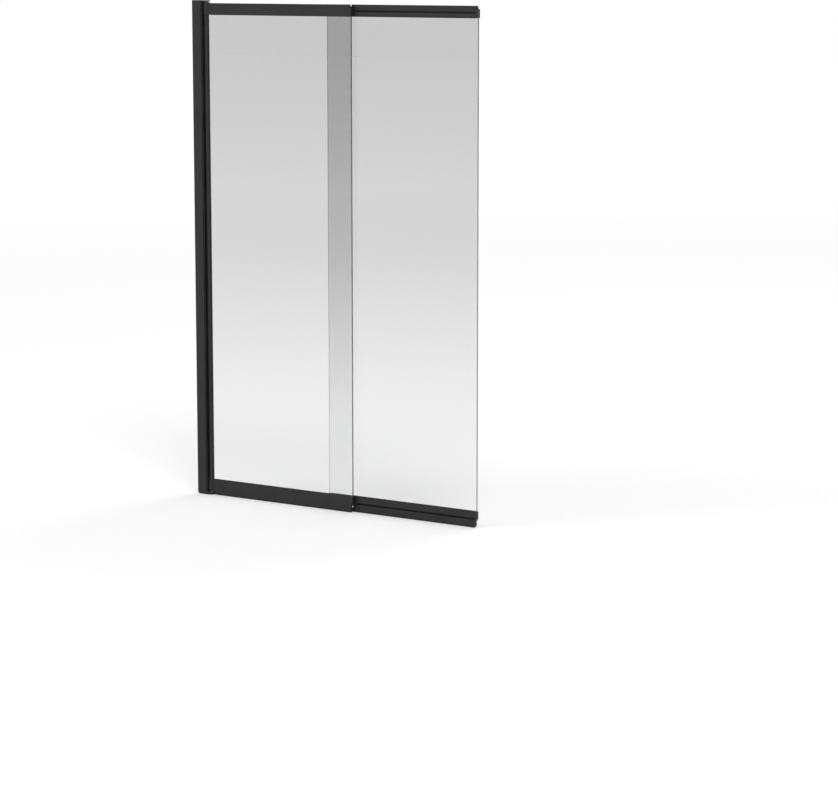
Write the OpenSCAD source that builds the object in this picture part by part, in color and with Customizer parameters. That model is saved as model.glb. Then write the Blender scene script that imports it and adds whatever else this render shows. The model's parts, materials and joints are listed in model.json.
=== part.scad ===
// Bath screen of two glass panels: the first swings on a wall profile, the second slides along the first.
// Origin: on the wall profile's back face, at mid-height. +X runs from the wall along the screen, +Y to the
// wet side and +Z up.
// Drawn square to the wall and pulled out to its full length.

/* [Screen] */
// Height of the wall profile with its two hinge brackets
screen_h = 1400; // [1200:10:1600]
// Length of the rails of each panel
rail_len = 471; // [380:1:600]
// Overlap of the two panels' rails when the screen is pulled out
rail_overlap = 74; // [60:1:110]
// How far the rails end below the top of the wall profile
rail_drop = 8; // [4:0.5:12]

/* [Glass] */
// Thickness of the glass
glass_t = 6; // [5:0.5:8]
// How far the glass stands beyond the open end of its rails
glass_proud = 6; // [4:0.5:9]
// Width of the ground arris along the upright glass edges
arris = 0.6; // [0.3:0.1:1]
// Wall of the glazing gaskets
gasket_t = 1; // [0.7:0.1:1.5]
// How far the gasket's lips show beyond the rail
gasket_lip = 0.6; // [0.3:0.1:1]

/* [Rails] */
// Height of a top rail
top_rail_h = 32; // [32:1:45]
// Height of a bottom rail without its drip seal
bottom_rail_h = 41; // [41:1:55]
// Depth of the glass pocket in a top rail
top_pocket = 8; // [6:0.5:8]
// Depth of the glass pocket in a bottom rail
bottom_pocket = 14.5; // [10:0.5:14.5]
// Wall beside the glass pocket
rail_wall = 1.5; // [1.2:0.1:2.5]
// Web between the chambers of a rail
web_t = 1.5; // [1:0.1:1.6]
// Radius of a rail's long edges
rail_edge_r = 0.8; // [0.3:0.1:1.2]
// How far a top rail's face draws in at its track
face_relief = 0.9; // [0.3:0.1:1.2]
// Height of the screw ports above the glass edge of a rail
port_rise = 28.4; // [28:0.1:28.8]
// Free space between the rails of the two panels
rail_gap = 2; // [1.5:0.1:4]

/* [Track and guides] */
// Height of the slot that opens a track
track_mouth = 4.6; // [4:0.1:5.5]
// Height of the track behind its slot
track_h = 9; // [8:0.1:9]
// Thickness of the lips beside the slot
track_lip = 2; // [1.6:0.1:2.4]
// Wall behind the track
track_back = 2.5; // [1.5:0.1:3]
// Running clearance of a guide in the other panel's track
guide_clear = 0.4; // [0.2:0.05:0.6]
// Seating clearance of a piece in its own rail
seat_clear = 0.1; // [0.05:0.05:0.2]
// How far a guide reaches beyond the end of its own rail
guide_nose = 16; // [10:1:24]
// Gap left between two stops that meet
stop_gap = 0.3; // [0.2:0.1:1]
// Thickness of the rubber buffer at the hinge end of a track
buffer_t = 2; // [1:0.5:4]

/* [End caps] */
// Plate that closes the end of a rail
cap_plate = 2.5; // [1:0.1:3]
// How far the head of a cap stands out over the glass corner
cap_proud = 7.5; // [7:0.5:11]
// Height of the head of a cap
cap_head_h = 24; // [18:0.5:24]
// How far the head of a cap is narrower than its rail
cap_inset = 0.5; // [0.3:0.1:1]
// Radius of the shoulders of a cap
cap_shoulder_r = 2.5; // [1:0.5:3.5]
// Boss under the head of the cap screw
cap_boss_d = 7; // [6.5:0.1:7.5]
// How far that boss stands out from the rail's end
cap_boss_out = 5; // [2:0.5:6]

/* [Drip seal] */
// How far the drip seal hangs below a bottom rail
seal_drop = 4; // [3:0.5:8]
// Width of the drip seal across its lips
seal_w = 9; // [7:0.5:10]
// Width of the slot that holds the drip seal
seal_mouth = 3; // [2.5:0.1:4]
// Depth of the lip of that slot, and of the chamber behind it
seal_lip_t = 1.5; // [1:0.1:2]
// Height of the chamber that holds the seal's foot
seal_foot_h = 3; // [2.5:0.1:3.5]

/* [Hinge] */
// Distance of the pivot axis from the wall
pivot_x = 43; // [40:1:60]
// Diameter of the round hinge post
post_d = 15; // [14:0.5:18]
// Diameter of the hinge barrels
barrel_d = 18; // [17.5:0.5:22]
// Radius of a barrel's domed end
barrel_edge_r = 4; // [1:0.1:4]
// Distance of the rails from the pivot axis
rail_start = 13; // [12.5:0.5:20]
// Thickness of the top bracket
top_bracket_t = 4; // [3.5:0.5:8]
// Thickness of the bottom bracket
bottom_bracket_t = 8.5; // [8:0.5:14]
// Radius of the round end of a bracket's arm
arm_r = 9.5; // [8:0.5:12]
// Radius of the heel that clears the sealant bead at the foot
heel_r = 8; // [4:0.5:8]
// Diameter of the pivot pins
pin_d = 6; // [5:0.5:6]
// Radial running clearance of a pin in its bush
pin_clear = 0.05; // [0.02:0.01:0.1]
// Length of a pin inside its barrel
pin_reach = 19; // [14:1:19]
// Wall of a bush
bush_wall = 1.2; // [0.8:0.05:1.2]
// Thickness of the flange of a bush
bush_flange = 1; // [0.8:0.1:2]
// Free lift of the panel below the top bracket
lift_clear = 0.3; // [0.2:0.05:0.5]

/* [Wall profile] */
// Width of the wall profile
wall_w = 25; // [22:0.5:32]
// Depth of the wall profile
wall_depth = 30; // [26:0.5:32]
// Thickness of its back
wall_back_t = 2; // [1.5:0.1:3]
// Thickness of its sides
wall_side_t = 1.8; // [1.4:0.1:2.5]
// Depth of the adjusting profile that slides in it
adjust_depth = 24; // [20:0.5:28]
// Wall of the adjusting profile
adjust_t = 1.6; // [1.2:0.1:2]
// Sliding clearance between the two profiles
adjust_clear = 0.3; // [0.1:0.05:0.5]
// Clearance between the adjusting profile and the hinge barrels
barrel_gap = 1; // [0.8:0.1:2]
// Diameter of the wall screw holes
wall_hole_d = 5.5; // [4:0.1:6.5]
// Distance between wall screw holes, which lie evenly about mid-height
wall_hole_pitch = 400; // [250:10:420]
// Distance between the screws that lock the adjusting profile
lock_pitch = 500; // [300:10:550]

/* [Screws] */
// Core diameter of the screws in the rail ends and brackets
screw_core_d = 3.4; // [3:0.1:4]
// Diameter of the cap screws' heads
screw_head_d = 5.6; // [5:0.1:5.8]
// Length of those screws under the head
screw_len = 16; // [10:1:25]
// Diameter of the locking screws
lock_d = 3.9; // [3:0.1:4.5]
// Diameter of the locking screws' heads
lock_head_d = 7.5; // [6:0.1:8.5]
// Diameter of the grub screws in the hinge blocks
grub_d = 4; // [3:0.1:4]
// Radial clearance of a screw in its hole
thread_clear = 0.05; // [0.02:0.01:0.1]

/* [Hidden] */
$fn = 48;
black = [0.11, 0.11, 0.11];
soft_black = [0.07, 0.07, 0.07];
steel = [0.75, 0.75, 0.76];
white = [0.93, 0.93, 0.92];
clear = [0.82, 0.85, 0.85, 0.4];
cut = 1; // how far a cutting shape runs past the face it opens
merge = 0.2; // how far two shapes of one piece run into each other

// heights
top_z = screen_h / 2;
base_z = -screen_h / 2;
top_edge_z = top_z - rail_drop - top_rail_h;
bottom_edge_z = base_z + seal_drop + bottom_rail_h;
top_arm_z = top_z - top_bracket_t;
bottom_arm_z = base_z + bottom_bracket_t;

// rail section, measured from its glass edge outwards
pocket_w = glass_t + 2 * gasket_t;
rail_t = pocket_w + 2 * rail_wall;
port_d = screw_core_d + 2 * thread_clear;
track_depth = rail_t - track_lip - track_back;
track_floor = rail_t / 2 - track_lip - track_depth;
seal_slot_h = seal_lip_t + seal_foot_h;
port_boss_d = pocket_w + 2 * merge;
function rail_h(level) = level == "top" ? top_rail_h : bottom_rail_h;
function pocket(level) = level == "top" ? top_pocket : bottom_pocket;
function edge_z(level) = level == "top" ? top_edge_z : bottom_edge_z;
function track_at(level) = pocket(level) + web_t + track_h / 2;
function hollow_from(level) = track_at(level) + track_h / 2 + web_t;
function hollow_to(level) = rail_h(level) - web_t - (level == "top" ? 0 : seal_slot_h);

// panels
swing_x = pivot_x + rail_start;
slide_x = swing_x + rail_len - rail_overlap;
slide_y = rail_t + rail_gap;
guide_in = (rail_overlap - stop_gap) / 2;
tongue_len = 10; // of the hinge blocks, inside the swing panel's tracks
function panel_x(panel) = panel == "slide" ? slide_x : swing_x;
function panel_y(panel) = panel == "slide" ? slide_y : 0;

// hinge
slot_back = 2; // how far the glass slot of the post passes behind the pivot axis
bush_d = pin_d + 2 * pin_clear + 2 * bush_wall;
bush_flange_d = barrel_d - 2 * barrel_edge_r - 0.4; // stays on the flat end of the barrel
bore_depth = pin_reach + 1;
bottom_pin_bite = 6.5; // depth of the bottom pin's blind hole
port_x = -(post_d / 2 + slot_back) / 2; // middle of the solid side of the post
spigot_len = 10; // of the hinge blocks, inside the post
function barrel_len(level) =
    (level == "top" ? top_arm_z - lift_clear - top_edge_z : bottom_edge_z - bottom_arm_z) - bush_flange;

// wall side
adjust_front = pivot_x - barrel_d / 2 - barrel_gap;
adjust_w = wall_w - 2 * wall_side_t - 2 * adjust_clear;
adjust_x = adjust_front - adjust_depth;
profile_h = top_arm_z - bottom_arm_z;
port_wall = 1.6; // of the adjusting profile's screw ports
bracket_port_x = adjust_front - adjust_t - port_d / 2 - port_wall + merge;
bracket_port_y = adjust_w / 4;
bracket_head_d = 7.8; // countersink of a bracket screw
bracket_head_h = 2.2;
bracket_screw_clear = 0.2;
plug_h = 18; // of the brackets, inside the adjusting profile
plug_clear = 0.2;
lock_x = wall_depth - 10;
lock_head_h = 2.4;
strip_w = 4;
strip_clear = 0.3;

// ---- placing ----

// Puts a rail piece in place. In a rail's own frame X runs along it from its start,
// Y points at the other panel and Z points away from the glass.
module at_rail(panel, level) {
    translate([panel_x(panel), panel_y(panel), edge_z(level)])
        mirror([0, panel == "slide" ? 1 : 0, 0])
            mirror([0, 0, level == "bottom" ? 1 : 0])
                children();
}

// Puts a piece that is drawn at the far end of a rail at its inner or outer end.
module at_end(end) {
    translate([end == "outer" ? rail_len : 0, 0, 0])
        mirror([end == "inner" ? 1 : 0, 0, 0])
            children();
}

// Runs a section along X: its first axis becomes Y and its second Z.
module along_x(x, length) {
    translate([x, 0, 0]) rotate([90, 0, 90]) linear_extrude(length) children();
}

// A rectangle centred on the first axis that stands on the second, with four round corners.
module rounded_bar(w, h, r) {
    translate([-w / 2, r]) square([w, h - 2 * r]);
    translate([-w / 2 + r, 0]) square([w - 2 * r, h]);
    for (side = [-1, 1], y = [r, h - r])
        translate([side * (w / 2 - r), y]) circle(r);
}

// A rectangle centred on the first axis, between two heights.
module band(w, from, to) {
    translate([-w / 2, from]) square([w, to - from]);
}

// Cross recess that is cut down into a screw's head from z = 0.
module cross_recess(width, length, depth) {
    for (turn = [0, 90])
        rotate([0, 0, turn])
            translate([-width / 2, -length / 2, -depth]) cube([width, length, depth + cut]);
}

// ---- rails ----

// A top rail's face draws in towards its track, and its lower edge is bevelled.
module face_cuts(level) {
    x = rail_t / 2;
    mouth_low = track_at(level) - track_mouth / 2;
    mouth_high = track_at(level) + track_mouth / 2;
    slope_h = 6;
    bevel_h = 5;
    polygon([
        [x + cut, mouth_low - slope_h], [x, mouth_low - slope_h],
        [x - face_relief, mouth_low], [x - face_relief, mouth_high],
        [x, mouth_high + slope_h], [x + cut, mouth_high + slope_h]
    ]);
    polygon([[x, bevel_h], [x + cut, bevel_h], [x + cut, -cut], [x - face_relief, -cut]]);
}

module rail_section(level) {
    h = rail_h(level);
    at = track_at(level);
    difference() {
        rounded_bar(rail_t, h, rail_edge_r);
        band(pocket_w, -cut, pocket(level));
        translate([track_floor, at - track_h / 2]) square([track_depth, track_h]);
        translate([0, at - track_mouth / 2]) square([rail_t / 2 + cut, track_mouth]);
        difference() {
            band(pocket_w, hollow_from(level), hollow_to(level));
            translate([0, port_rise]) circle(d = port_boss_d);
        }
        translate([0, port_rise]) circle(d = port_d);
        if (level == "top") face_cuts(level);
        if (level == "bottom") {
            band(seal_mouth, h - seal_slot_h, h + cut);
            band(2 * seal_mouth, h - seal_slot_h, h - seal_lip_t);
        }
    }
}

module rail(panel, level) {
    color(black)
        at_rail(panel, level) along_x(0, rail_len) rail_section(level);
}

// U-shaped lining of a glass pocket. On the swing panel it runs on through the hinge block.
module rail_gasket(panel, level) {
    lead = panel == "swing" ? rail_start + slot_back - gasket_t : 0;
    color(soft_black)
        at_rail(panel, level) {
            along_x(-lead, rail_len + lead) difference() {
                band(pocket_w, 0, pocket(level));
                band(glass_t, -cut, pocket(level) - gasket_t);
            }
            along_x(0, rail_len) difference() {
                band(pocket_w, -gasket_lip, 0);
                band(glass_t, -gasket_lip - cut, cut);
            }
        }
}

// Closes the end of a rail and wraps the corner of the glass that stands out there.
module end_cap(panel, level, end) {
    glass_room = glass_t + 2 * guide_clear;
    head_w = rail_t - 2 * cap_inset;
    color(soft_black)
        at_rail(panel, level) at_end(end) difference() {
            union() {
                along_x(0, cap_plate) rounded_bar(rail_t, rail_h(level), rail_edge_r);
                along_x(0, cap_proud) rounded_bar(head_w, cap_head_h, cap_shoulder_r);
                along_x(0, cap_boss_out)
                    translate([0, port_rise]) circle(d = cap_boss_d);
            }
            along_x(-cut, cut + glass_proud + guide_clear)
                band(glass_room, -cut, pocket(level) - gasket_t + guide_clear);
            along_x(-cut, 2 * cut + cap_boss_out)
                translate([0, port_rise]) circle(d = port_d + 2 * guide_clear);
        }
}

// Pan-head screw that holds an end cap, with a cross recess.
module cap_screw(panel, level, end) {
    head_h = 2.2;
    color(steel)
        at_rail(panel, level) at_end(end)
            translate([cap_boss_out, 0, port_rise]) rotate([0, 90, 0]) difference() {
                union() {
                    translate([0, 0, -screw_len]) cylinder(d = screw_core_d, h = screw_len);
                    cylinder(d = screw_head_d, h = head_h / 2);
                    translate([0, 0, head_h / 2])
                        cylinder(d1 = screw_head_d, d2 = screw_head_d * 0.7, h = head_h / 2);
                }
                translate([0, 0, head_h]) cross_recess(0.7, 3.2, 0.7);
            }
}

module cap_screws(panel, ends) {
    for (level = ["top", "bottom"], end = ends) cap_screw(panel, level, end);
}

// A block that sits in its own rail's track and runs in the other panel's track.
// It stops against the other panel's guide when the screen is pulled out.
module guide(panel, level) {
    end = panel == "swing" ? "outer" : "inner";
    foot_from = track_floor + seat_clear;
    foot_to = rail_t / 2 - track_lip - seat_clear;
    face = rail_t / 2;
    head_from = face + rail_gap + track_lip + guide_clear;
    head_to = face + rail_gap + track_lip + track_depth - guide_clear;
    neck_h = track_mouth - 2 * guide_clear;
    foot_h = track_h - 2 * seat_clear;
    head_h = track_h - 2 * guide_clear;
    neck_setback = 1;
    color(soft_black)
        at_rail(panel, level) at_end(end) translate([0, 0, track_at(level)]) {
            translate([-guide_in, foot_from, -foot_h / 2])
                cube([guide_in - seat_clear, foot_to - foot_from, foot_h]);
            translate([-guide_in, foot_to - seat_clear, -neck_h / 2])
                cube([guide_in - seat_clear, head_from - foot_to + 2 * seat_clear, neck_h]);
            nosed_bar(face + guide_clear, head_from + seat_clear, neck_h, guide_nose - neck_setback);
            nosed_bar(head_from, head_to, head_h, guide_nose);
        }
}

// A bar along X between two Y places, with a half-round nose.
module nosed_bar(from_y, to_y, h, to_x) {
    translate([-guide_in, from_y, -h / 2]) cube([guide_in + to_x - h / 2, to_y - from_y, h]);
    translate([to_x - h / 2, to_y, 0]) rotate([90, 0, 0]) cylinder(d = h, h = to_y - from_y);
}

// Soft strip under a bottom rail: a foot in the slot, a neck, and two lips.
module drip_seal(panel) {
    h = bottom_rail_h;
    foot_clear = 0.2;
    notch_half = 0.8;
    notch_top = h + seal_drop * 0.35;
    color(soft_black)
        at_rail(panel, "bottom") along_x(0, rail_len) {
            band(2 * seal_mouth - 2 * foot_clear, h - seal_slot_h + foot_clear, h - seal_lip_t - foot_clear);
            band(seal_mouth - 2 * foot_clear, h - seal_slot_h + foot_clear, h + 0.5);
            polygon([
                [-seal_w / 2, h], [seal_w / 2, h], [seal_w / 4, h + seal_drop],
                [notch_half, notch_top], [-notch_half, notch_top], [-seal_w / 4, h + seal_drop]
            ]);
        }
}

// ---- glass ----

module pane(from_x, to_x, y) {
    from_z = bottom_edge_z - bottom_pocket + gasket_t;
    to_z = top_edge_z + top_pocket - gasket_t;
    half = glass_t / 2;
    color(clear)
        translate([0, y, from_z]) linear_extrude(to_z - from_z)
            polygon([
                [from_x, -half + arris], [from_x + arris, -half],
                [to_x - arris, -half], [to_x, -half + arris],
                [to_x, half - arris], [to_x - arris, half],
                [from_x + arris, half], [from_x, half - arris]
            ]);
}

module swing_glass() {
    pane(pivot_x - slot_back + gasket_t, swing_x + rail_len + glass_proud, 0);
}

module slide_glass() {
    pane(slide_x - glass_proud, slide_x + rail_len + glass_proud, slide_y);
}

// ---- hinge side of the swing panel ----

// Round upright with a slot for the glass and a small round port for the blocks' spigots.
module hinge_post() {
    color(black)
        translate([pivot_x, 0, bottom_edge_z]) linear_extrude(top_edge_z - bottom_edge_z)
            difference() {
                circle(d = post_d);
                translate([-slot_back, -pocket_w / 2]) square([post_d, pocket_w]);
                translate([port_x, 0]) circle(d = port_d);
            }
}

module post_gasket() {
    slot_end = sqrt(pow(post_d / 2, 2) - pow(pocket_w / 2, 2)) - seat_clear;
    color(soft_black)
        translate([pivot_x, 0, bottom_edge_z]) linear_extrude(top_edge_z - bottom_edge_z)
            difference() {
                translate([-slot_back, -pocket_w / 2]) square([slot_back + slot_end, pocket_w]);
                translate([-slot_back + gasket_t, -glass_t / 2]) square([post_d, glass_t]);
            }
}

// Barrel with a rounded outer end, standing on the glass edge of the rail.
module barrel(length) {
    rotate_extrude() {
        square([barrel_d / 2, length - barrel_edge_r]);
        square([barrel_d / 2 - barrel_edge_r, length]);
        translate([barrel_d / 2 - barrel_edge_r, length - barrel_edge_r]) intersection() {
            circle(r = barrel_edge_r);
            square(barrel_edge_r);
        }
    }
}

// Casting that joins the post, the rail and the pivot. Its tongue sits in the rail's track.
module hinge_block(level) {
    length = barrel_len(level);
    tongue_y = track_floor + seat_clear;
    tongue_h = track_h - 2 * seat_clear;
    color(black)
        at_rail("swing", level) difference() {
            union() {
                translate([-rail_start, 0, 0]) barrel(length);
                translate([-rail_start, -rail_t / 2, 0])
                    cube([rail_start, rail_t, min(length, rail_h(level))]);
                translate([-cut, tongue_y, track_at(level) - tongue_h / 2])
                    cube([tongue_len + cut, track_depth - 2 * seat_clear, tongue_h]);
                translate([-rail_start + port_x, 0, -spigot_len])
                    cylinder(d = screw_core_d - 2 * seat_clear, h = spigot_len + cut);
            }
            translate([-rail_start - slot_back, -pocket_w / 2, -cut])
                cube([rail_start + slot_back + cut, pocket_w, pocket(level) + cut]);
            translate([-rail_start, 0, length - bore_depth]) cylinder(d = bush_d, h = bore_depth + cut);
            translate([tongue_len / 2, 0, track_at(level)]) rotate([90, 0, 0])
                cylinder(d = grub_d + 2 * thread_clear, h = rail_t, center = true);
        }
}

// Flanged plain bearing, pressed into the barrel.
module bush(level) {
    sleeve = bore_depth - 1;
    color(white)
        at_rail("swing", level) translate([-rail_start, 0, barrel_len(level) - sleeve]) difference() {
            union() {
                cylinder(d = bush_d, h = sleeve + bush_flange);
                translate([0, 0, sleeve]) cylinder(d = bush_flange_d, h = bush_flange);
            }
            translate([0, 0, -cut]) cylinder(d = pin_d + 2 * pin_clear, h = sleeve + bush_flange + 2 * cut);
        }
}

// Headless screws that clamp the tongues of the hinge blocks.
module block_grub_screws() {
    length = track_depth - 2 * seat_clear;
    socket_d = 2.3;
    socket_depth = 2;
    color(steel)
        for (level = ["top", "bottom"])
            at_rail("swing", level)
                translate([tongue_len / 2, track_floor + seat_clear, track_at(level)])
                    rotate([-90, 0, 0]) difference() {
                        cylinder(d = grub_d, h = length);
                        translate([0, 0, length - socket_depth])
                            cylinder(d = socket_d, h = socket_depth + cut, $fn = 6);
                    }
}

// Rubber blocks that the sliding panel's guides meet when the screen is pushed in.
module stop_buffers() {
    color(soft_black)
        for (level = ["top", "bottom"])
            at_rail("swing", level)
                translate([tongue_len, track_floor + seat_clear, track_at(level) - track_h / 2 + seat_clear])
                    cube([buffer_t, track_depth - 2 * seat_clear, track_h - 2 * seat_clear]);
}

// ---- wall side ----

module wall_profile() {
    inner_w = wall_w - 2 * wall_side_t;
    lock_hole_d = lock_d + 0.4;
    color(black)
        difference() {
            translate([0, 0, bottom_arm_z]) linear_extrude(profile_h) difference() {
                translate([0, -wall_w / 2]) square([wall_depth, wall_w]);
                translate([wall_back_t, -inner_w / 2]) square([wall_depth, inner_w]);
            }
            for (step = [-1.5, -0.5, 0.5, 1.5])
                translate([-cut, 0, step * wall_hole_pitch]) rotate([0, 90, 0])
                    cylinder(d = wall_hole_d, h = wall_back_t + 2 * cut);
            for (step = [-1, 0, 1])
                translate([lock_x, inner_w / 2 - cut, step * lock_pitch]) rotate([-90, 0, 0])
                    cylinder(d = lock_hole_d, h = wall_side_t + 2 * cut);
        }
}

module adjusting_profile() {
    inner_w = adjust_w - 2 * adjust_t;
    color(black)
        difference() {
            translate([0, 0, bottom_arm_z]) linear_extrude(profile_h) difference() {
                union() {
                    difference() {
                        translate([adjust_x, -adjust_w / 2]) square([adjust_depth, adjust_w]);
                        translate([adjust_x - cut, -inner_w / 2])
                            square([adjust_depth - adjust_t + cut, inner_w]);
                    }
                    for (side = [-1, 1])
                        translate([bracket_port_x, side * bracket_port_y])
                            circle(d = port_d + 2 * port_wall);
                }
                for (side = [-1, 1])
                    translate([bracket_port_x, side * bracket_port_y]) circle(d = port_d);
            }
            for (step = [-1, 0, 1])
                translate([lock_x, inner_w / 2 - cut, step * lock_pitch]) rotate([-90, 0, 0])
                    cylinder(d = lock_d + 2 * thread_clear, h = adjust_t + 2 * cut);
        }
}

// Self-tapping screws that fix the adjusting profile at its depth, on the wet side.
module locking_screws() {
    length = wall_w / 2 - adjust_w / 4;
    color(steel)
        for (step = [-1, 0, 1])
            translate([lock_x, wall_w / 2, step * lock_pitch]) rotate([-90, 0, 0]) difference() {
                union() {
                    translate([0, 0, -length]) cylinder(d = lock_d, h = length);
                    cylinder(d = lock_head_d, h = lock_head_h / 2);
                    translate([0, 0, lock_head_h / 2])
                        cylinder(d1 = lock_head_d, d2 = lock_head_d * 0.65, h = lock_head_h / 2);
                }
                translate([0, 0, lock_head_h]) cross_recess(0.8, 3.8, 1);
            }
}

// Outline of a bracket from above: a foot over the profiles and an arm to the pivot.
module bracket_outline() {
    translate([0, -wall_w / 2]) square([adjust_front, wall_w]);
    polygon([
        [adjust_front, -wall_w / 2], [pivot_x, -arm_r],
        [pivot_x, arm_r], [adjust_front, wall_w / 2]
    ]);
    translate([pivot_x, 0]) circle(arm_r);
}

// A bracket drawn as at the top, with z = 0 on the face that meets the profiles.
module bracket(thickness, pin_hole) {
    plug_w = adjust_w - 2 * adjust_t - 2 * plug_clear;
    plug_from = adjust_x + cut;
    plug_to = bracket_port_x - port_d / 2 - port_wall - plug_clear;
    hole_d = port_d + 2 * bracket_screw_clear;
    difference() {
        union() {
            linear_extrude(thickness) bracket_outline();
            translate([plug_from, -plug_w / 2, -plug_h]) cube([plug_to - plug_from, plug_w, plug_h + cut]);
        }
        translate([pivot_x, 0, -cut]) cylinder(d = pin_d, h = pin_hole + cut);
        for (side = [-1, 1])
            translate([bracket_port_x, side * bracket_port_y, 0]) {
                translate([0, 0, -cut]) cylinder(d = hole_d, h = thickness + 2 * cut);
                translate([0, 0, thickness - bracket_head_h])
                    cylinder(d1 = hole_d, d2 = bracket_head_d, h = bracket_head_h + 0.01);
            }
    }
}

module top_bracket() {
    color(black) translate([0, 0, top_arm_z]) bracket(top_bracket_t, top_bracket_t + cut);
}

// The bottom bracket's heel is rounded where it stands in the sealant bead.
module bottom_bracket() {
    color(black)
        difference() {
            translate([0, 0, bottom_arm_z]) mirror([0, 0, 1]) bracket(bottom_bracket_t, bottom_pin_bite);
            translate([0, wall_w, base_z]) rotate([90, 0, 0]) linear_extrude(2 * wall_w) difference() {
                translate([-cut, -cut]) square(heel_r + cut);
                translate([heel_r, heel_r]) circle(heel_r);
            }
        }
}

// The top pin is riveted flush through its bracket, the bottom one is pressed in.
module pivot_pin(pin_bite) {
    chamfer = 0.8;
    color(steel)
        translate([pivot_x, 0, -pin_reach - bush_flange]) {
            cylinder(d1 = pin_d - 2 * chamfer, d2 = pin_d, h = chamfer);
            translate([0, 0, chamfer])
                cylinder(d = pin_d, h = pin_reach + bush_flange + pin_bite - chamfer);
        }
}

module top_pivot_pin() {
    translate([0, 0, top_arm_z]) pivot_pin(top_bracket_t);
}

module bottom_pivot_pin() {
    translate([0, 0, bottom_arm_z]) mirror([0, 0, 1]) pivot_pin(bottom_pin_bite);
}

// Countersunk screw through a bracket, drawn as at the top, with z = 0 on the face that meets the profiles.
module bracket_screw(thickness) {
    flush = 0.1;
    head_z = thickness - flush;
    head_d = bracket_head_d - 2 * bracket_screw_clear;
    difference() {
        union() {
            translate([0, 0, head_z - screw_len]) cylinder(d = screw_core_d, h = screw_len - 1);
            translate([0, 0, head_z - bracket_head_h])
                cylinder(d1 = screw_core_d, d2 = head_d, h = bracket_head_h);
        }
        translate([0, 0, head_z]) cross_recess(0.8, 4, 1);
    }
}

// Two of these screws hold each bracket, in the ports of the adjusting profile.
module bracket_screws() {
    color(steel)
        for (side = [-1, 1])
            translate([bracket_port_x, side * bracket_port_y, 0]) {
                translate([0, 0, top_arm_z]) bracket_screw(top_bracket_t);
                translate([0, 0, bottom_arm_z]) mirror([0, 0, 1]) bracket_screw(bottom_bracket_t);
            }
}

// Soft strip on the adjusting profile that closes the gap to the turning post.
module hinge_strip() {
    reach = pivot_x - post_d / 2 - strip_clear - adjust_front;
    color(soft_black)
        translate([adjust_front, 0, bottom_edge_z + strip_clear])
            linear_extrude(top_edge_z - bottom_edge_z - 2 * strip_clear) {
                translate([0, -strip_w / 2]) square([reach / 2, strip_w]);
                translate([0, -strip_w / 4]) square([reach, strip_w / 2]);
            }
}

wall_profile();
adjusting_profile();
top_bracket();
bottom_bracket();
top_pivot_pin();
bottom_pivot_pin();
bracket_screws();
locking_screws();
hinge_strip();
hinge_post();
post_gasket();
hinge_block("top");  // top_hinge_block
hinge_block("bottom");  // bottom_hinge_block
bush("top");  // top_bush
bush("bottom");  // bottom_bush
block_grub_screws();
stop_buffers();
swing_glass();
rail("swing", "top");  // swing_top_rail
rail("swing", "bottom");  // swing_bottom_rail
rail_gasket("swing", "top");  // swing_top_gasket
rail_gasket("swing", "bottom");  // swing_bottom_gasket
end_cap("swing", "top", "outer");  // swing_top_cap
end_cap("swing", "bottom", "outer");  // swing_bottom_cap
cap_screws("swing", ["outer"]);  // swing_cap_screws
guide("swing", "top");  // swing_top_guide
guide("swing", "bottom");  // swing_bottom_guide
drip_seal("swing");  // swing_drip_seal
slide_glass();
rail("slide", "top");  // slide_top_rail
rail("slide", "bottom");  // slide_bottom_rail
rail_gasket("slide", "top");  // slide_top_gasket
rail_gasket("slide", "bottom");  // slide_bottom_gasket
end_cap("slide", "top", "inner");  // slide_top_inner_cap
end_cap("slide", "top", "outer");  // slide_top_outer_cap
end_cap("slide", "bottom", "inner");  // slide_bottom_inner_cap
end_cap("slide", "bottom", "outer");  // slide_bottom_outer_cap
cap_screws("slide", ["inner", "outer"]);  // slide_cap_screws
guide("slide", "top");  // slide_top_guide
guide("slide", "bottom");  // slide_bottom_guide
drip_seal("slide");  // slide_drip_seal
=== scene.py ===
"""Looks of the bath screen: finishes, eased edges, light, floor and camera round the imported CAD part."""

import json
import math

import bmesh
import bpy
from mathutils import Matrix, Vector


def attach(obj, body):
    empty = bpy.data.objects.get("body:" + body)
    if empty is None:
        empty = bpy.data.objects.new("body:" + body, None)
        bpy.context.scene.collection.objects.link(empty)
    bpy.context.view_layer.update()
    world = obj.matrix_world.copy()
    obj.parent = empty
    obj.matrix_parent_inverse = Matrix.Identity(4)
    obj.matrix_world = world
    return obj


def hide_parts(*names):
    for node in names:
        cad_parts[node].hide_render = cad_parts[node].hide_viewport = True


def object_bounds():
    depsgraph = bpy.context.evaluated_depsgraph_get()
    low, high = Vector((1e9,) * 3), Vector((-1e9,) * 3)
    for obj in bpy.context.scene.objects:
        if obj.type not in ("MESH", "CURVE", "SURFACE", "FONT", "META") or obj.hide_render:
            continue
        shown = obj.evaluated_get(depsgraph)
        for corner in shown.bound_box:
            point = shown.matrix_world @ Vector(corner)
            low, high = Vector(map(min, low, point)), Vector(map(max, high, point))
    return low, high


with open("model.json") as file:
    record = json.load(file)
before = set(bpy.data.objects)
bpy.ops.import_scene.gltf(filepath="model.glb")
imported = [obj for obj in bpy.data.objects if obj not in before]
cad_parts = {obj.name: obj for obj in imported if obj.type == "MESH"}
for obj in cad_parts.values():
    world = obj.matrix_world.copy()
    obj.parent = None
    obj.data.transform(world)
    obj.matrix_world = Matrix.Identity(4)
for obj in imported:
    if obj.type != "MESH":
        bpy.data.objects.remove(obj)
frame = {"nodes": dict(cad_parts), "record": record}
cad_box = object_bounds()


# ---- Wall profile and adjusting profile ----
# Two U-shaped aluminium extrusions with a fine matte black powder coat. The outer one is screwed
# to the wall, and the inner one slides in it to take up a wall that isn't plumb.


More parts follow.
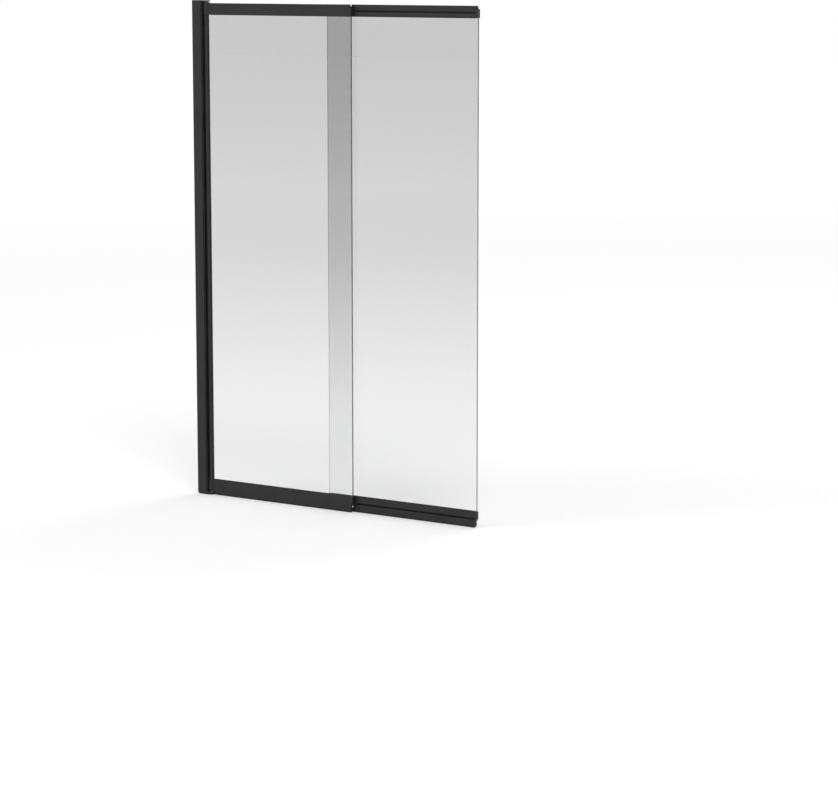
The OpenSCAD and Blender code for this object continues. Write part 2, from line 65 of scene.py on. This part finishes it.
def wire(tree, node, inputs):
    """Sets a node's inputs by name or number: a socket is linked, and anything else is a plain value."""
    for label, value in inputs.items():
        if isinstance(value, bpy.types.NodeSocket):
            tree.links.new(value, node.inputs[label])
        else:
            node.inputs[label].default_value = value


def add_node(tree, kind, settings=None, inputs=None):
    """Adds a shader node with its own settings and its inputs."""
    node = tree.nodes.new(kind)
    for key, value in (settings or {}).items():
        setattr(node, key, value)
    wire(tree, node, inputs or {})
    return node


def maths(tree, operation, *values):
    """The result of one calculation on one or two values."""
    node = add_node(tree, "ShaderNodeMath", {"operation": operation}, dict(enumerate(values)))
    return node.outputs[0]


def stretch(tree, value, start=0.0, end=1.0, low=0.0, high=1.0):
    """Maps a value's range from start to end onto low to high, and holds it at those ends."""
    ends = {"From Min": start, "From Max": end, "To Min": low, "To Max": high}
    node = add_node(tree, "ShaderNodeMapRange", None, {"Value": value, **ends})
    return node.outputs["Result"]


def mix_colours(tree, share, first, second, blend="MIX"):
    """The first colour where the share is 0, passing into the second where it is 1."""
    settings = {"data_type": "RGBA", "blend_type": blend}
    node = add_node(tree, "ShaderNodeMix", settings, {"Factor": share, "A": first, "B": second})
    return node.outputs["Result"]


def new_group(name, inputs, outputs):
    """An empty shader node group with float inputs and outputs, and its two end nodes."""
    group = bpy.data.node_groups.new(name, "ShaderNodeTree")
    for label, value in inputs.items():
        socket = group.interface.new_socket(label, in_out="INPUT", socket_type="NodeSocketFloat")
        socket.default_value = value
    for label in outputs:
        group.interface.new_socket(label, in_out="OUTPUT", socket_type="NodeSocketFloat")
    return group, group.nodes.new("NodeGroupInput"), group.nodes.new("NodeGroupOutput")


def make_fine_grain():
    """Even grain for bump, and a slow mottle for colour and gloss. Sizes are in metres."""
    common_low = 0.3
    common_high = 0.7
    sizes = {"Grain Size": 0.001, "Mottle Size": 0.05}
    group, given, made = new_group("fine_grain", sizes, ["Grain", "Mottle"])
    place = group.nodes.new("ShaderNodeTexCoord").outputs["Object"]
    for size, result in (("Grain Size", "Grain"), ("Mottle Size", "Mottle")):
        scale = maths(group, "DIVIDE", 1.0, given.outputs[size])
        noise = add_node(group, "ShaderNodeTexNoise", None, {"Vector": place, "Scale": scale})
        wire(group, made, {result: stretch(group, noise.outputs["Fac"], common_low, common_high)})
    return group


def make_painted_edge_highlight():
    """Mask for the painted edge highlight: 1 on outer and inner edges and 0 on flats."""
    flat_cosine = 0.99
    edge_cosine = 0.8
    group, given, made = new_group("painted_edge_highlight", {"Width": 0.0008}, ["Edge"])
    rounded = add_node(group, "ShaderNodeBevel", {"samples": 4}, {"Radius": given.outputs["Width"]})
    flat = group.nodes.new("ShaderNodeNewGeometry").outputs["Normal"]
    normals = {0: rounded.outputs["Normal"], 1: flat}
    turn = add_node(group, "ShaderNodeVectorMath", {"operation": "DOT_PRODUCT"}, normals)
    wire(group, made, {"Edge": stretch(group, turn.outputs["Value"], flat_cosine, edge_cosine)})
    return group


fine_grain = make_fine_grain()
painted_edge_highlight = make_painted_edge_highlight()


def grey(level):
    """A dark neutral colour, with the slight cool cast of a black coat."""
    cool_cast = 1.02
    return (level, level, level * cool_cast, 1.0)


def new_material(name):
    """A material, its node tree and its Principled shader."""
    material = bpy.data.materials.new(name)
    material.use_nodes = True
    tree = material.node_tree
    return material, tree, tree.nodes["Principled BSDF"]


def matte_finish(name, dark, light, edge, roughness, grain_size, mottle_size, bump_depth):
    """A dark or pale finish with grain, slow mottle and a painted highlight of a lighter tone along its
    edges.
    """
    lit_edge_width = 0.0006
    gloss_swing = 0.06
    shine = 0.35
    material, tree, shader = new_material(name)
    sizes = {"Grain Size": grain_size, "Mottle Size": mottle_size}
    grain = add_node(tree, "ShaderNodeGroup", {"node_tree": fine_grain}, sizes)
    lit_edges = add_node(tree, "ShaderNodeGroup", {"node_tree": painted_edge_highlight}, {"Width": lit_edge_width})
    both = maths(tree, "ADD", grain.outputs["Grain"], grain.outputs["Mottle"])
    tone = mix_colours(tree, maths(tree, "MULTIPLY", both, 0.5), dark, light)
    bump = add_node(
        tree, "ShaderNodeBump", None, {"Height": grain.outputs["Grain"], "Distance": bump_depth}
    )
    smoothest = roughness - gloss_swing
    dullest = roughness + gloss_swing
    surface = {
        # The lighter edge tone is a painted highlight, laid along the edges by the bevel mask.
        "Base Color": mix_colours(tree, lit_edges.outputs["Edge"], tone, edge),
        "Roughness": stretch(tree, grain.outputs["Mottle"], low=smoothest, high=dullest),
        "Normal": bump.outputs["Normal"],
        "Specular IOR Level": shine,
    }
    wire(tree, shader, surface)
    return material


record = frame["record"]
body_of = {node: body for body, nodes in record["behaviour"]["bodies"].items() for node in nodes}
sharp_turn = math.radians(35)


def outer_edges(shape, longer_than):
    """Sharp outer edges that touch no inner corner or hole, and are longer than a length."""
    inner_turn = math.radians(2)
    inner = {edge for edge in shape.edges if not edge.is_convex and edge.calc_face_angle() > inner_turn}
    return [
        edge
        for edge in shape.edges
        if edge.is_convex
        and edge.calc_face_angle() > sharp_turn
        and edge.calc_length() > longer_than
        and not any(near in inner for end in edge.verts for near in end.link_edges)
    ]


def eased_piece(node, material, radius, longer_than=0.0):
    """Stands for a CAD node with a copy of it whose outer edges are rounded."""
    weld_gap = 0.000002
    flat_turn = math.radians(0.5)
    sliver = 0.00001
    shape = bmesh.new()
    shape.from_mesh(frame["nodes"][node].data)
    bmesh.ops.remove_doubles(shape, verts=shape.verts, dist=weld_gap)
    bmesh.ops.dissolve_limit(shape, angle_limit=flat_turn, verts=shape.verts, edges=shape.edges)
    bmesh.ops.bevel(
        shape,
        geom=outer_edges(shape, longer_than),
        offset=radius,
        offset_type="OFFSET",
        segments=3,
        profile=0.5,
        affect="EDGES",
        clamp_overlap=False,
        material=-1,
    )
    bmesh.ops.dissolve_degenerate(shape, dist=sliver, edges=shape.edges)
    mesh = bpy.data.meshes.new(node + "_eased")
    shape.to_mesh(mesh)
    shape.free()
    mesh.materials.append(material)
    mesh.shade_smooth()
    mesh.set_sharp_from_angle(angle=sharp_turn)
    piece = bpy.data.objects.new(node + "_eased", mesh)
    bpy.context.scene.collection.objects.link(piece)
    piece.modifiers.new("even_shading", "WEIGHTED_NORMAL").keep_sharp = True
    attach(piece, body_of[node])
    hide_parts(node)


powder_coat = matte_finish(
    "black_powder_coat",
    dark=grey(0.006),
    light=grey(0.020),
    # edge: the tone of the painted highlight along the edges
    edge=grey(0.032),
    roughness=0.50,
    grain_size=0.0007,
    mottle_size=0.05,
    bump_depth=0.00012,
)
full_length = 0.1  # only edges that run along an extrusion are this long, and its sawn ends stay sharp
eased_piece("wall_profile", powder_coat, radius=0.0006, longer_than=full_length)
eased_piece("adjusting_profile", powder_coat, radius=0.0004, longer_than=full_length)


# ---- Brackets ----
# Zinc castings with the same black coat, which close the profiles and carry the pivot pins.
# Two countersunk screws hold each one. Castings have larger edge radii than extrusions.

eased_piece("top_bracket", powder_coat, radius=0.0009)
eased_piece("bottom_bracket", powder_coat, radius=0.0012)


# ---- Hinge post and hinge blocks ----
# The post is a round slotted aluminium extrusion. A cast block at each end joins it to the rail
# and turns on the pivot pin.

eased_piece("hinge_post", powder_coat, radius=0.0004, longer_than=full_length)
eased_piece("top_hinge_block", powder_coat, radius=0.0008)
eased_piece("bottom_hinge_block", powder_coat, radius=0.0008)


# ---- Rails ----
# Black coated aluminium extrusions, sawn square at both ends, with a glass pocket and an open
# track along the side that faces the other panel.

for panel in ("swing", "slide"):
    for level in ("top", "bottom"):
        eased_piece(f"{panel}_{level}_rail", powder_coat, radius=0.0003, longer_than=full_length)


# ---- End caps and guides ----
# Moulded black nylon caps, each held by one screw in the rail's port. The guides are acetal
# blocks, pushed into their own rail's track, whose round noses run in the other panel's track.

moulded_black = matte_finish(
    "moulded_black",
    dark=grey(0.010),
    light=grey(0.024),
    # edge: the tone of the painted highlight along the edges
    edge=grey(0.040),
    roughness=0.42,
    grain_size=0.0005,
    mottle_size=0.02,
    bump_depth=0.00002,
)
for node in (
    "swing_top_cap",
    "swing_bottom_cap",
    "slide_top_inner_cap",
    "slide_top_outer_cap",
    "slide_bottom_inner_cap",
    "slide_bottom_outer_cap",
):
    eased_piece(node, moulded_black, radius=0.0004)
for panel in ("swing", "slide"):
    for level in ("top", "bottom"):
        eased_piece(f"{panel}_{level}_guide", moulded_black, radius=0.0006)


# ---- Gaskets, seals and buffers ----
# Black rubber and soft plastic strips, extruded and pushed into their grooves without glue.
# The buffers are small rubber blocks at the hinge end of the tracks.


def dress(material, *nodes):
    """Gives a finish to CAD nodes whose shape stays as it is."""
    for node in nodes:
        frame["nodes"][node].material_slots[0].material = material


soft_rubber = matte_finish(
    "soft_rubber",
    dark=grey(0.005),
    light=grey(0.014),
    # edge: the tone of the painted highlight along the edges
    edge=grey(0.022),
    roughness=0.70,
    grain_size=0.0009,
    mottle_size=0.03,
    bump_depth=0.00003,
)
dress(
    soft_rubber,
    "hinge_strip",
    "post_gasket",
    "stop_buffers",
    "swing_top_gasket",
    "swing_bottom_gasket",
    "slide_top_gasket",
    "slide_bottom_gasket",
)
eased_piece("swing_drip_seal", soft_rubber, radius=0.0004)
eased_piece("slide_drip_seal", soft_rubber, radius=0.0004)


# ---- Glass ----
# Two panes of 6 mm toughened glass with ground upright edges, pressed into the gaskets. They
# are painted grey at the top, fading to clear at the foot, as a painted shade.


def make_glass():
    """Smooth glass with a painted shade that greys it towards its top, with frosted, faintly green upright
    edges.
    """
    # The top and foot greys are painted shade; the glass itself is clear.
    top_painted_grey = (0.561, 0.562, 0.562, 1)
    foot_painted_grey = (0.951, 0.955, 0.954, 1)
    grey_height = 0.56
    clear_height = -0.68
    fade_power = 1.4
    face_tilt = 0.3
    edge_tilt = 0.6
    edge_tint = (0.85, 0.88, 0.87, 1)
    edge_frosting = 0.7
    material, tree, shader = new_material("clear_glass")
    where = tree.nodes.new("ShaderNodeTexCoord")
    place = add_node(tree, "ShaderNodeSeparateXYZ", None, {"Vector": where.outputs["Object"]})
    down = stretch(tree, place.outputs["Z"], grey_height, clear_height)
    # Painted shade by height: grey at the top, fading to clear at the foot.
    painted_grey = mix_colours(tree, maths(tree, "POWER", down, fade_power), top_painted_grey, foot_painted_grey)
    facing = add_node(tree, "ShaderNodeSeparateXYZ", None, {"Vector": where.outputs["Normal"]})
    ground = stretch(tree, maths(tree, "ABSOLUTE", facing.outputs["X"]), face_tilt, edge_tilt)
    surface = {
        "Base Color": mix_colours(tree, ground, painted_grey, edge_tint, blend="MULTIPLY"),
        "Roughness": maths(tree, "MULTIPLY", ground, edge_frosting),
        "Transmission Weight": 1.0,
        "IOR": 1.5,
    }
    wire(tree, shader, surface)
    return material


dress(make_glass(), "swing_glass", "slide_glass")


# ---- Pins and screws ----
# Bare stainless steel. The pins are turned and pressed into the brackets, and the screws are
# cold-headed, with a cross or a hexagon recess.


def make_stainless():
    """Bare metal with a slow change of tone and a fine change of gloss."""
    dark = (0.56, 0.56, 0.55, 1)
    light = (0.70, 0.70, 0.69, 1)
    material, tree, shader = new_material("bare_stainless")
    sizes = {"Grain Size": 0.0003, "Mottle Size": 0.003}
    grain = add_node(tree, "ShaderNodeGroup", {"node_tree": fine_grain}, sizes)
    surface = {
        "Base Color": mix_colours(tree, grain.outputs["Mottle"], dark, light),
        "Roughness": stretch(tree, grain.outputs["Grain"], low=0.20, high=0.40),
        "Metallic": 1.0,
    }
    wire(tree, shader, surface)
    return material


dress(
    make_stainless(),
    "top_pivot_pin",
    "bottom_pivot_pin",
    "bracket_screws",
    "locking_screws",
    "block_grub_screws",
    "swing_cap_screws",
    "slide_cap_screws",
)


# ---- Bushes ----
# Flanged bushes of natural white acetal, turned from bar and pressed into the hinge blocks.
# They carry the panel's weight on their flanges and turn on the pins.

white_acetal = matte_finish(
    "white_acetal",
    dark=(0.72, 0.72, 0.69, 1),
    light=(0.80, 0.80, 0.78, 1),
    # edge: the tone of the painted highlight along the edges
    edge=(0.82, 0.82, 0.80, 1),
    roughness=0.38,
    grain_size=0.001,
    mottle_size=0.006,
    bump_depth=0.00001,
)
dress(white_acetal, "top_bush", "bottom_bush")


# ---- Floor and background ----
# A plain floor that looks white and keeps the screen's soft shadow, under a white sky. Glass and
# metal show the same white.


def seen_ray(tree):
    """1 for rays that the eye follows, straight or by way of glass or gloss, and 0 for light."""
    path = tree.nodes.new("ShaderNodeLightPath")
    direct = maths(tree, "MAXIMUM", path.outputs["Is Camera Ray"], path.outputs["Is Glossy Ray"])
    return maths(tree, "MAXIMUM", direct, path.outputs["Is Transmission Ray"])


def lay_floor():
    """A wide plane just under the screen, whose glow makes up for the light that it lacks."""
    half_size = 30.0
    foot_gap = 0.0005
    paint = (0.8, 0.8, 0.8, 1)
    near_glow = 0.215
    far_glow = 0.54
    far = 11.0
    foot = cad_box[0].z
    lit_middle = (0.8, 0.3, foot)
    shape = bmesh.new()
    bmesh.ops.create_grid(shape, x_segments=1, y_segments=1, size=half_size)
    bmesh.ops.translate(shape, vec=(0, 0, foot - foot_gap), verts=shape.verts)
    mesh = bpy.data.meshes.new("floor")
    shape.to_mesh(mesh)
    shape.free()
    material, tree, shader = new_material("white_floor")
    tree.nodes.remove(shader)
    place = tree.nodes.new("ShaderNodeTexCoord").outputs["Object"]
    away = add_node(tree, "ShaderNodeVectorMath", {"operation": "DISTANCE"}, {0: place, 1: lit_middle})
    missing = stretch(tree, away.outputs["Value"], end=far, low=near_glow, high=far_glow)
    strength = maths(tree, "MULTIPLY", seen_ray(tree), missing)
    glow = add_node(tree, "ShaderNodeEmission", None, {"Strength": strength})
    plain = add_node(tree, "ShaderNodeBsdfDiffuse", None, {"Color": paint})
    both = add_node(tree, "ShaderNodeAddShader", None, {0: plain.outputs[0], 1: glow.outputs[0]})
    wire(tree, tree.nodes["Material Output"], {"Surface": both.outputs[0]})
    mesh.materials.append(material)
    floor = bpy.data.objects.new("floor", mesh)
    bpy.context.scene.collection.objects.link(floor)


def hang_sky():
    """A white sky that is brighter to the eye than to the surfaces it lights."""
    world = bpy.data.worlds.new("studio")
    world.use_nodes = True
    tree = world.node_tree
    for_light = 0.6
    for_the_eye = 1.0
    strength = stretch(tree, seen_ray(tree), low=for_light, high=for_the_eye)
    wire(tree, tree.nodes["Background"], {"Color": (1, 1, 1, 1), "Strength": strength})
    bpy.context.scene.world = world


lay_floor()
hang_sky()


# ---- Lamps ----
# Three large soft lamps over the room side, the wall side and the wet side. They hang high
# enough that the upright panes never mirror them.

screen_middle = Vector((0.45, 0, 0))


def hang_lamp(name, place, size, power):
    """A square soft lamp that points at the middle of the screen."""
    lamp = bpy.data.lights.new(name, "AREA")
    lamp.shape = "SQUARE"
    lamp.size = size
    lamp.energy = power
    holder = bpy.data.objects.new(name, lamp)
    holder.location = place
    holder.rotation_euler = (screen_middle - holder.location).to_track_quat("-Z", "Y").to_euler()
    bpy.context.scene.collection.objects.link(holder)


hang_lamp("key_lamp", place=(3.5, -3.0, 4.5), size=2.0, power=110)
hang_lamp("fill_lamp", place=(-2.5, -3.5, 4.5), size=2.5, power=60)
hang_lamp("back_lamp", place=(1.0, 4.0, 4.5), size=2.5, power=70)


# ---- Camera ----
# A little above the screen's top, a third of the way round to its open end, and tilted down to
# the middle of the picture, with no shift.

camera_place = (4.8342, -6.1742, 0.8092)
tilt_down = 9.017
turn_left = 33.475

lens = bpy.data.cameras.new("camera")
lens.lens = 119.0
lens.sensor_width = 36.0
lens.clip_end = 200.0
camera = bpy.data.objects.new("camera", lens)
camera.location = camera_place
camera.rotation_euler = (math.radians(90 - tilt_down), 0, math.radians(turn_left))
bpy.context.scene.collection.objects.link(camera)
bpy.context.scene.camera = camera
bpy.context.scene.view_settings.view_transform = "Standard"
